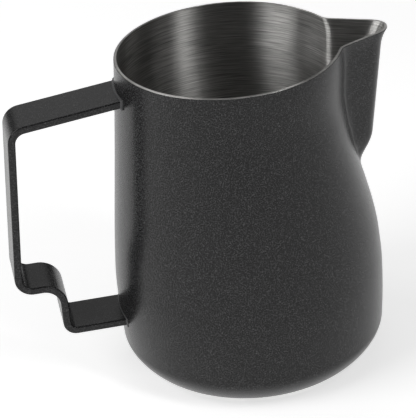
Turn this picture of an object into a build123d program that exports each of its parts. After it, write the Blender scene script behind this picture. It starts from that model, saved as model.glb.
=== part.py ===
# Milk frothing pitcher: a drawn steel jug with a pressed spout, a coloured coat and a welded strip handle.
#
# Frame: millimetres, +Z up. The origin is on the jug's axis, in the plane of its base ring.
# The spout points along +X and the handle along -X. Everything is symmetric about the XZ plane.

from build123d import *
from functools import cache
import math
import os

# --- Driving dimensions ---------------------------------------------------------------------

height = 116.5              # base plane to the plane of the rim
rim_radius = 40.0           # at the handle side of the rim
belly_radius = 47.1         # widest radius
belly_height = 32.0         # where it is widest
belly_softness = 5.5        # how gently the side turns into the taper above it
foot_draw = 2.0             # the side draws in below it, by this much if it went on to the base
corner_height = 11.7        # below it the side turns in to the base
corner_fullness = 0.38      # 0.55 is a round corner, less is flatter
base_radius = 34.5          # outer radius of the flat ring that the jug stands on
base_ring_width = 3.5
recess_depth = 1.2          # the middle of the base is raised by this much
recess_slope = 2.0          # run of the slope between the ring and the raised middle

wall = 0.8                  # steel sheet
coat = 0.15                 # coat on the outside of the jug
bare_rim = 0.2              # the coat stops this far below the rim
bare_base_share = 0.2       # and this share round the base corner, so the jug stands on bare steel

spout_reach = 53.7          # axis to the tip of the spout, at the rim
spout_half_angle = 25.3     # each side of the spout, from the XZ plane
spout_tip_radius = 6.3      # seen from above
spout_slope = 0.132         # outward run of the spout's ridge for each unit of height
spout_knuckle_height = 76.5
spout_foot_slope = 0.58     # the ridge turns in below the knuckle
spout_knuckle_softness = 1.0
lip_flare = 1.7             # extra reach of the lip, right at the rim
lip_flare_height = 6.0
crease_width = 1.8          # how far the blend between side and spout reaches

pinch_depth = 5.0           # the side is drawn in beside the spout
pinch_rim_depth = 2.7       # less of that is left at the rim
pinch_foot = 44.0           # height where the pinch starts
pinch_full = 88.0           # height where it reaches its full depth
pinch_release = 95.0        # height where it starts to let go towards the rim
pinch_spread = 44.6         # degrees from the deepest line to half of the depth
pinch_angle = 27.8          # where it is deepest, near the rim
pinch_turn_foot = 67.0      # below this height it is deepest in the middle of the spout
pinch_turn_full = 113.0

handle_width = 17.9
handle_thickness = 2.6
handle_edge_round = 0.5
handle_top = 105.85         # middle of the strip where it meets the jug, above the base
handle_top_fall = 0.115     # fall of the top run for each unit of length
handle_reach = 77.3         # axis to the middle of the grip, at its top
grip_lean = 0.0775          # outward run of the grip for each unit of height, going down
heel_height = 40.7          # short run at the foot of the grip
step_reach = 66.9           # axis to the middle of the step
handle_foot = 22.4          # bottom run, where it meets the jug
top_bend = 5.2              # bend radii, at the middle of the strip
heel_bend = 5.0
step_bend = 7.0
foot_bend = 3.4
handle_bite = 5.0           # the strip's blank runs on this far inside the jug before it is cut

weld_leg = 0.5              # fillet weld round each end of the strip
weld_chamfer = 0.25         # less than the leg by more than the coat, so its toe stands on the coat

# --- Sizes worked out from them -------------------------------------------------------------

split_height = pinch_foot   # round below this height, shaped by the spout above it
coat_top = height - bare_rim
section_step = 3.0          # spacing of the sections above the split height
section_points = 64
front_density = 0.45        # sections have more points round the spout
side_points = 9

spout_side = math.radians(spout_half_angle)


def side_radius(z):
    """Outside radius of the round jug at a height, without pinch or spout."""
    if z < belly_height:
        return belly_radius - foot_draw * ((belly_height - z) / belly_height) ** 2
    run = z - belly_height
    full = height - belly_height
    fall = math.hypot(run, belly_softness) - belly_softness
    full_fall = math.hypot(full, belly_softness) - belly_softness
    return belly_radius - (belly_radius - rim_radius) * fall / full_fall


def smooth_step(value, start, end):
    t = min(max((value - start) / (end - start), 0.0), 1.0)
    return t * t * (3 - 2 * t)


def smooth_max(a, b, width):
    h = max(width - abs(a - b), 0.0) / width
    return max(a, b) + h * h * width / 4


def ridge_reach(z):
    """Distance from the axis to the spout's ridge at a height."""
    tip_line = spout_reach - lip_flare - spout_slope * (height - z)
    knuckle = spout_reach - lip_flare - spout_slope * (height - spout_knuckle_height)
    foot_line = knuckle + spout_foot_slope * (z - spout_knuckle_height)
    lip = lip_flare * max(1 - (height - z) / lip_flare_height, 0.0) ** 2
    return -smooth_max(-tip_line, -foot_line, spout_knuckle_softness) + lip


def spout_radius(angle, z, inset):
    """Polar radius of the spout's wedge with a round tip."""
    tip = spout_tip_radius - inset
    centre = ridge_reach(z) - spout_tip_radius
    tangent = math.atan2(tip * math.cos(spout_side), centre + tip * math.sin(spout_side))
    if angle < tangent:
        return centre * math.cos(angle) + math.sqrt(tip ** 2 - (centre * math.sin(angle)) ** 2)
    apex = centre + tip / math.sin(spout_side)
    return apex * math.sin(spout_side) / math.sin(min(angle + spout_side, math.pi / 2))


def wall_radius(angle, z, inset):
    """Polar radius of the jug's surface, moved in by inset."""
    angle = abs(math.atan2(math.sin(angle), math.cos(angle)))
    release = (pinch_depth - pinch_rim_depth) * smooth_step(z, pinch_release, height)
    depth = pinch_depth * smooth_step(z, pinch_foot, pinch_full) - release
    place = pinch_angle * smooth_step(z, pinch_turn_foot, pinch_turn_full)
    away = (math.degrees(angle) - place) / pinch_spread
    side = side_radius(z) - depth / (1 + away ** 2) - inset
    return smooth_max(side, spout_radius(angle, z, inset), crease_width)


def section(z, inset):
    """Closed outline of the jug at a height. Every section has its points at the same angles."""
    angles = []
    for i in range(section_points + 1):
        turn = 2 * math.pi * i / section_points
        angles.append(turn - front_density * math.sin(turn))
    points = []
    for angle in angles[:-1]:
        r = wall_radius(angle, z, inset)
        points.append(Vector(r * math.cos(angle), r * math.sin(angle), z))
    return Wire([Edge.make_spline(points, periodic=True, parameters=angles)])


@cache
def upper_body(inset):
    """Solid inside the jug's surface, from the split height to the top of the coat."""
    steps = round((coat_top - split_height) / section_step)
    start = Wire.make_circle(side_radius(split_height) - inset, Plane.XY.offset(split_height))
    sections = [start]
    for i in range(1, steps + 1):
        sections.append(section(split_height + (coat_top - split_height) * i / steps, inset))
    return Solid.make_loft(sections)


@cache
def rim_band(inset):
    """Solid inside the jug's surface, from the top of the coat to the rim."""
    return Solid.make_loft([section(coat_top, inset), section(height, inset)], ruled=True)


def base_corner(inset):
    """Curve from the base ring round to the side."""
    low = inset - coat
    high = corner_height - coat
    side = side_radius(high) - inset
    lean = 2 * foot_draw * (belly_height - high) / belly_height ** 2
    handle = corner_fullness * (high - low)
    return Bezier(
        (base_radius, low),
        (base_radius + corner_fullness * (side - base_radius), low),
        (side - lean * handle, high - handle),
        (side, high),
    )


def side_outline(inset, start_share):
    """The jug's profile from this share round the base corner up to the split height."""
    corner = base_corner(inset).trim(start_share, 1)
    low = corner_height - coat
    side = []
    for i in range(side_points):
        z = low + (split_height - low) * i / (side_points - 1)
        side.append((side_radius(z) - inset, z))
    return [corner, Spline(*side)]


def base_outline(inset):
    """The profile of the base, from the axis to the outer edge of the ring that it stands on."""
    ring_inner = base_radius - base_ring_width
    middle = ring_inner - recess_slope
    low = inset - coat
    raised = recess_depth + low
    return Polyline((0, raised), (middle, raised), (ring_inner, low), (base_radius, low)).edges()


@cache
def lower_body(inset):
    """Solid inside the jug's surface, from the base to the split height."""
    outline = [*base_outline(inset), *side_outline(inset, 0)]
    top = Line(outline[-1] @ 1, (0, split_height))
    axis_edge = Line((0, split_height), outline[0] @ 0)
    return revolve(Plane.XZ * make_face([*outline, top, axis_edge]), Axis.Z)


def level(face, z):
    """Whether a face is flat and lies at a height."""
    return face.geom_type == GeomType.PLANE and abs(face.center().Z - z) < 0.001


def side_faces(body, *heights):
    """Faces of a body without the flat ones at these heights."""
    return [face for face in body.faces() if not any(level(face, z) for z in heights)]


def skin(inset):
    """Open skin of the jug, from the middle of the base to the rim."""
    faces = side_faces(lower_body(inset), split_height)
    faces += side_faces(upper_body(inset), split_height, coat_top)
    return faces + side_faces(rim_band(inset), coat_top, height)


def ring(outer, inner):
    """Flat face between the top outlines of two bodies."""
    outlines = [body.faces().sort_by(Axis.Z)[-1].outer_wire() for body in (outer, inner)]
    return Face(outlines[0], [outlines[1]])


def body_shell():
    """Drawn steel jug with its pressed spout and bare rim."""
    inside = coat + wall
    return Solid(Shell([*skin(coat), *skin(inside), ring(rim_band(coat), rim_band(inside))]))


def body_coating(fittings):
    """Coat on the outside of the jug, open where the handle is welded on."""
    outer, inner = [side_outline(inset, bare_base_share) for inset in (0, coat)]
    edges = [Line(outer[0] @ 0, inner[0] @ 0), Line(outer[-1] @ 1, inner[-1] @ 1)]
    lower = revolve(Plane.XZ * make_face([*outer, *inner, *edges]), Axis.Z)
    faces = side_faces(lower, split_height)
    for inset in (0, coat):
        faces += side_faces(upper_body(inset), split_height, coat_top)
    whole = Solid(Shell([*faces, ring(upper_body(0), upper_body(coat))]))
    return whole.cut(*fittings)


def handle_path():
    """Middle of the strip: top run, grip, heel, step and bottom run, ending inside the jug."""
    top_start = side_radius(handle_top) - handle_bite
    foot_start = side_radius(handle_foot) - handle_bite
    grip_top = handle_top - handle_top_fall * (handle_reach - side_radius(handle_top))
    heel_reach = handle_reach + grip_lean * (grip_top - heel_height)
    points = [
        (-top_start, handle_top + handle_top_fall * handle_bite),
        (-handle_reach, grip_top),
        (-heel_reach, heel_height),
        (-step_reach, heel_height),
        (-step_reach, handle_foot),
        (-foot_start, handle_foot),
    ]
    return FilletPolyline(*points, radius=[top_bend, heel_bend, step_bend, foot_bend])


def handle_blank():
    """The bent strip, before its ends are cut to the jug."""
    face = Plane.XZ * trace(handle_path(), handle_thickness)
    blank = extrude(face, handle_width / 2, both=True)
    long_edges = [edge for flat in blank.faces().filter_by(Axis.Y) for edge in flat.edges()]
    return fillet(long_edges, handle_edge_round)


def against_jug(piece):
    """Cuts a piece back to the outside of the steel."""
    return piece - Part(upper_body(coat).wrapped) - lower_body(coat)


def handle_strip():
    return against_jug(handle_blank())


def weld_bead(place, fall):
    """Fillet weld round the strip, where it meets the jug at this height."""
    reach = side_radius(place)
    depth = 2 * (weld_leg + handle_bite)
    block = Box(depth, handle_width + 2 * weld_leg, handle_thickness + 2 * weld_leg)
    centre = Location((-reach, 0, place), (0, math.degrees(math.atan(fall)), 0))
    low = place - handle_thickness - weld_leg
    high = place + handle_thickness + weld_leg
    corners = [
        (0, low),
        (-side_radius(low) + coat - weld_leg, low),
        (-side_radius(high) + coat - weld_leg, high),
        (0, high),
    ]
    limit = revolve(Plane.XZ * make_face(Polyline(*corners, close=True)), Axis.Z)
    bead = centre * block & limit
    front = bead.faces().sort_by(Axis.X)[0]
    bead = chamfer(front.edges(), weld_chamfer)
    return against_jug(bead - handle_blank())


if __name__ == "__main__":
    handle = handle_strip()
    upper_weld = weld_bead(handle_top, -handle_top_fall)
    lower_weld = weld_bead(handle_foot, 0)
    nodes = {
        "body_shell": body_shell(),
        "body_coating": body_coating([handle, upper_weld, lower_weld]),
        "handle_strip": handle,
        "upper_weld_bead": upper_weld,
        "lower_weld_bead": lower_weld,
    }
    os.makedirs("parts", exist_ok=True)
    for name, piece in nodes.items():
        export_step(piece, f"parts/{name}.step")
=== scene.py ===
import bpy
import math
from mathutils import Matrix, Vector

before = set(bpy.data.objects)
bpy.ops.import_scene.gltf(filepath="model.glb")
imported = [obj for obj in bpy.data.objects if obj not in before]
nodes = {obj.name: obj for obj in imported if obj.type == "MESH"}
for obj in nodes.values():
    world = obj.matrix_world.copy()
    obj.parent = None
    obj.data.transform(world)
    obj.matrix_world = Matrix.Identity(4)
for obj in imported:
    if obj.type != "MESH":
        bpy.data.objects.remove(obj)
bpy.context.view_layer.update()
bpy.ops.object.select_all(action="DESELECT")
print("frame loaded:", ", ".join(sorted(nodes)))

# lengths are in metres and angles in degrees; the spout is at +X, the handle at -X, and +Z is up

viewValues = {
    "target": (-0.0125, 0.0019, 0.0559),
    "azimuth": 8.52,        # turned from straight in front of the XZ plane, towards the handle
    "elevation": 28.8,
    "roll": -5.07,
    "distance": 0.7358,
    "lens": 181.85,         # mm
    "sensorWidth": 36,      # mm
    "clipStart": 0.01,
}


def outward(azimuth, elevation):
    flat = math.radians(azimuth)
    rise = math.radians(elevation)
    return Vector((math.cos(flat) * math.cos(rise), math.sin(flat) * math.cos(rise), math.sin(rise)))


def addCamera():
    data = bpy.data.cameras.new("jugCamera")
    data.lens = viewValues["lens"]
    data.sensor_width = viewValues["sensorWidth"]
    data.clip_start = viewValues["clipStart"]
    camera = bpy.data.objects.new("jugCamera", data)
    bpy.context.collection.objects.link(camera)
    back = outward(-90 - viewValues["azimuth"], viewValues["elevation"])
    level = outward(-viewValues["azimuth"], 0)
    upright = back.cross(level)
    roll = math.radians(viewValues["roll"])
    right = math.cos(roll) * level + math.sin(roll) * upright
    up = back.cross(right)
    turn = Matrix((right, up, back)).transposed().to_4x4()
    place = Vector(viewValues["target"]) + back * viewValues["distance"]
    camera.matrix_world = Matrix.Translation(place) @ turn
    bpy.context.scene.camera = camera


lightValues = {
    # name: azimuth, elevation, distance, width, height, glow
    "rightSoftbox": (-20, 40, 1.0, 0.3, 0.6, 0.36),
    "rightStrip": (-51, 38, 0.85, 0.15, 0.6, 6.5),
    "leftSoftbox": (-163, 35, 1.0, 0.62, 0.7, 3.4),
    "leftBackSoftbox": (150, 35, 1.1, 0.5, 0.6, 1.5),
    "backSoftbox": (90, 35, 1.2, 1.2, 0.6, 0.62),
    "topSoftbox": (-90, 80, 1.2, 0.6, 0.6, 0.35),
}
lightAim = (0, 0, 0.06)
worldGrey = 0.07


def addLights():
    aim = Vector(lightAim)
    for name, (azimuth, elevation, distance, width, height, glow) in lightValues.items():
        data = bpy.data.lights.new(name, "AREA")
        data.shape = "RECTANGLE"
        data.size = width
        data.size_y = height
        data.energy = glow * math.pi * width * height
        light = bpy.data.objects.new(name, data)
        bpy.context.collection.objects.link(light)
        away = outward(azimuth, elevation)
        light.location = aim + away * distance
        light.rotation_euler = away.to_track_quat("Z", "Y").to_euler()
    world = bpy.data.worlds.new("studio")
    bpy.context.scene.world = world
    world.use_nodes = True
    background = world.node_tree.nodes["Background"]
    background.inputs["Color"].default_value = (worldGrey, worldGrey, worldGrey, 1)
    background.inputs["Strength"].default_value = 1.0


floorValues = {
    "size": 6.0,
    "colour": (0.88, 0.88, 0.88, 1),
    "glowColour": (1, 1, 1, 1),
    "glow": 0.56,
    "roughness": 0.7,
    "shine": 0.2,
}


def addFloor():
    bpy.ops.mesh.primitive_plane_add(size=floorValues["size"])
    floor = bpy.context.object
    floor.name = "paleFloor"
    material = bpy.data.materials.new("paleFloor")
    material.use_nodes = True
    shader = material.node_tree.nodes["Principled BSDF"]
    shader.inputs["Base Color"].default_value = floorValues["colour"]
    shader.inputs["Roughness"].default_value = floorValues["roughness"]
    shader.inputs["Specular IOR Level"].default_value = floorValues["shine"]
    shader.inputs["Emission Color"].default_value = floorValues["glowColour"]
    shader.inputs["Emission Strength"].default_value = floorValues["glow"]
    floor.data.materials.append(material)


def newNode(tree, kind, **values):
    node = tree.nodes.new(kind)
    for name, value in values.items():
        setattr(node, name, value)
    return node


def newMaterial(name):
    material = bpy.data.materials.new(name)
    material.use_nodes = True
    tree = material.node_tree
    return material, tree, tree.nodes["Principled BSDF"]


def addSocket(group, name, direction, kind, value=None):
    socket = group.interface.new_socket(name, in_out=direction, socket_type=kind)
    if value is not None:
        socket.default_value = value
    return socket


speckleValues = {
    "detail": 3.0,
    "roughness": 0.7,
    "darkBelow": 0.50,      # noise below this is all dark
    "paleAbove": 0.72,      # and above this all pale
}


def makeSpeckle():
    group = bpy.data.node_groups.new("powderSpeckle", "ShaderNodeTree")
    addSocket(group, "Grain Size", "INPUT", "NodeSocketFloat", 0.0003)
    addSocket(group, "Dark", "INPUT", "NodeSocketColor", (0.02, 0.02, 0.02, 1))
    addSocket(group, "Pale", "INPUT", "NodeSocketColor", (0.06, 0.06, 0.06, 1))
    addSocket(group, "Colour", "OUTPUT", "NodeSocketColor")
    addSocket(group, "Grain", "OUTPUT", "NodeSocketFloat")
    inputs = newNode(group, "NodeGroupInput")
    outputs = newNode(group, "NodeGroupOutput")
    place = newNode(group, "ShaderNodeTexCoord")
    scale = newNode(group, "ShaderNodeMath", operation="DIVIDE")
    scale.inputs[0].default_value = 1.0
    group.links.new(inputs.outputs["Grain Size"], scale.inputs[1])
    fine = newNode(group, "ShaderNodeTexNoise")
    fine.inputs["Detail"].default_value = speckleValues["detail"]
    fine.inputs["Roughness"].default_value = speckleValues["roughness"]
    group.links.new(place.outputs["Object"], fine.inputs["Vector"])
    group.links.new(scale.outputs[0], fine.inputs["Scale"])
    ramp = newNode(group, "ShaderNodeMapRange")
    ramp.inputs["From Min"].default_value = speckleValues["darkBelow"]
    ramp.inputs["From Max"].default_value = speckleValues["paleAbove"]
    group.links.new(fine.outputs["Fac"], ramp.inputs["Value"])
    mix = newNode(group, "ShaderNodeMix", data_type="RGBA")
    group.links.new(ramp.outputs["Result"], mix.inputs["Factor"])
    group.links.new(inputs.outputs["Dark"], mix.inputs[6])
    group.links.new(inputs.outputs["Pale"], mix.inputs[7])
    group.links.new(mix.outputs[2], outputs.inputs["Colour"])
    group.links.new(ramp.outputs["Result"], outputs.inputs["Grain"])
    return group


coatValues = {
    "grainSize": 0.00042,
    "dark": (0.005, 0.005, 0.0052, 1),
    "pale": (0.083, 0.083, 0.085, 1),
    "roughness": 0.27,
    "ior": 1.36,
    "bump": 0.38,
    "bumpDepth": 0.00003,
}


def makeCoat(name, speckle, values):
    material, tree, shader = newMaterial(name)
    grain = newNode(tree, "ShaderNodeGroup", node_tree=speckle)
    grain.inputs["Grain Size"].default_value = values["grainSize"]
    grain.inputs["Dark"].default_value = values["dark"]
    grain.inputs["Pale"].default_value = values["pale"]
    bump = newNode(tree, "ShaderNodeBump")
    bump.inputs["Strength"].default_value = values["bump"]
    bump.inputs["Distance"].default_value = values["bumpDepth"]
    tree.links.new(grain.outputs["Colour"], shader.inputs["Base Color"])
    tree.links.new(grain.outputs["Grain"], bump.inputs["Height"])
    tree.links.new(bump.outputs["Normal"], shader.inputs["Normal"])
    shader.inputs["Roughness"].default_value = values["roughness"]
    shader.inputs["IOR"].default_value = values["ior"]
    return material


# paler than the coat, so that the thin beads show as light lines along the joints; this pale tone is
# a painted highlight
weldHighlightValues = {
    **coatValues,
    "dark": (0.060, 0.060, 0.062, 1),
    "pale": (0.160, 0.160, 0.163, 1),
}


steelValues = {
    "colour": (0.74, 0.73, 0.71, 1),
    "worn": (0.20, 0.197, 0.19, 1),
    "roughness": 0.40,
    "anisotropy": 1.0,
    "anisotropyTurn": 0.25,
    "linesAround": 80.0,    # the noise is stretched round the jug into brush lines
    "linesUp": 2600.0,
    "detail": 4.0,
    "lineRoughness": 0.6,
    "faintest": 0.26,
    "strongest": 0.74,
    "bump": 1.0,
    "bumpDepth": 0.00006,
}


def makeSteel():
    material, tree, shader = newMaterial("brushedSteel")
    place = newNode(tree, "ShaderNodeTexCoord")
    stretch = newNode(tree, "ShaderNodeMapping")
    around = steelValues["linesAround"]
    stretch.inputs["Scale"].default_value = (around, around, steelValues["linesUp"])
    tree.links.new(place.outputs["Object"], stretch.inputs["Vector"])
    lines = newNode(tree, "ShaderNodeTexNoise")
    lines.inputs["Scale"].default_value = 1.0
    lines.inputs["Detail"].default_value = steelValues["detail"]
    lines.inputs["Roughness"].default_value = steelValues["lineRoughness"]
    tree.links.new(stretch.outputs["Vector"], lines.inputs["Vector"])
    contrast = newNode(tree, "ShaderNodeMapRange")
    contrast.inputs["From Min"].default_value = steelValues["faintest"]
    contrast.inputs["From Max"].default_value = steelValues["strongest"]
    tree.links.new(lines.outputs["Fac"], contrast.inputs["Value"])
    mix = newNode(tree, "ShaderNodeMix", data_type="RGBA")
    tree.links.new(contrast.outputs["Result"], mix.inputs["Factor"])
    mix.inputs[6].default_value = steelValues["worn"]
    mix.inputs[7].default_value = steelValues["colour"]
    tree.links.new(mix.outputs[2], shader.inputs["Base Color"])
    bump = newNode(tree, "ShaderNodeBump")
    bump.inputs["Strength"].default_value = steelValues["bump"]
    bump.inputs["Distance"].default_value = steelValues["bumpDepth"]
    tree.links.new(lines.outputs["Fac"], bump.inputs["Height"])
    tree.links.new(bump.outputs["Normal"], shader.inputs["Normal"])
    turn = newNode(tree, "ShaderNodeTangent", direction_type="RADIAL", axis="Z")
    tree.links.new(turn.outputs["Tangent"], shader.inputs["Tangent"])
    shader.inputs["Metallic"].default_value = 1.0
    shader.inputs["Roughness"].default_value = steelValues["roughness"]
    shader.inputs["Anisotropic"].default_value = steelValues["anisotropy"]
    shader.inputs["Anisotropic Rotation"].default_value = steelValues["anisotropyTurn"]
    return material


def dress(node, material):
    piece = nodes[node]
    if not piece.material_slots:
        piece.data.materials.append(material)
    for slot in piece.material_slots:
        slot.material = material


addCamera()
addLights()
addFloor()
print("camera, lights and floor placed")

speckle = makeSpeckle()
dress("body_shell", makeSteel())
dress("body_coating", makeCoat("bodyCoat", speckle, coatValues))
dress("handle_strip", makeCoat("handleCoat", speckle, coatValues))
# the weld beads get a paler coat colour, a painted highlight along the joints
weldHighlightCoat = makeCoat("weldHighlightCoat", speckle, weldHighlightValues)
dress("upper_weld_bead", weldHighlightCoat)
dress("lower_weld_bead", weldHighlightCoat)
print("materials made")

bpy.context.scene.view_settings.view_transform = "Standard"
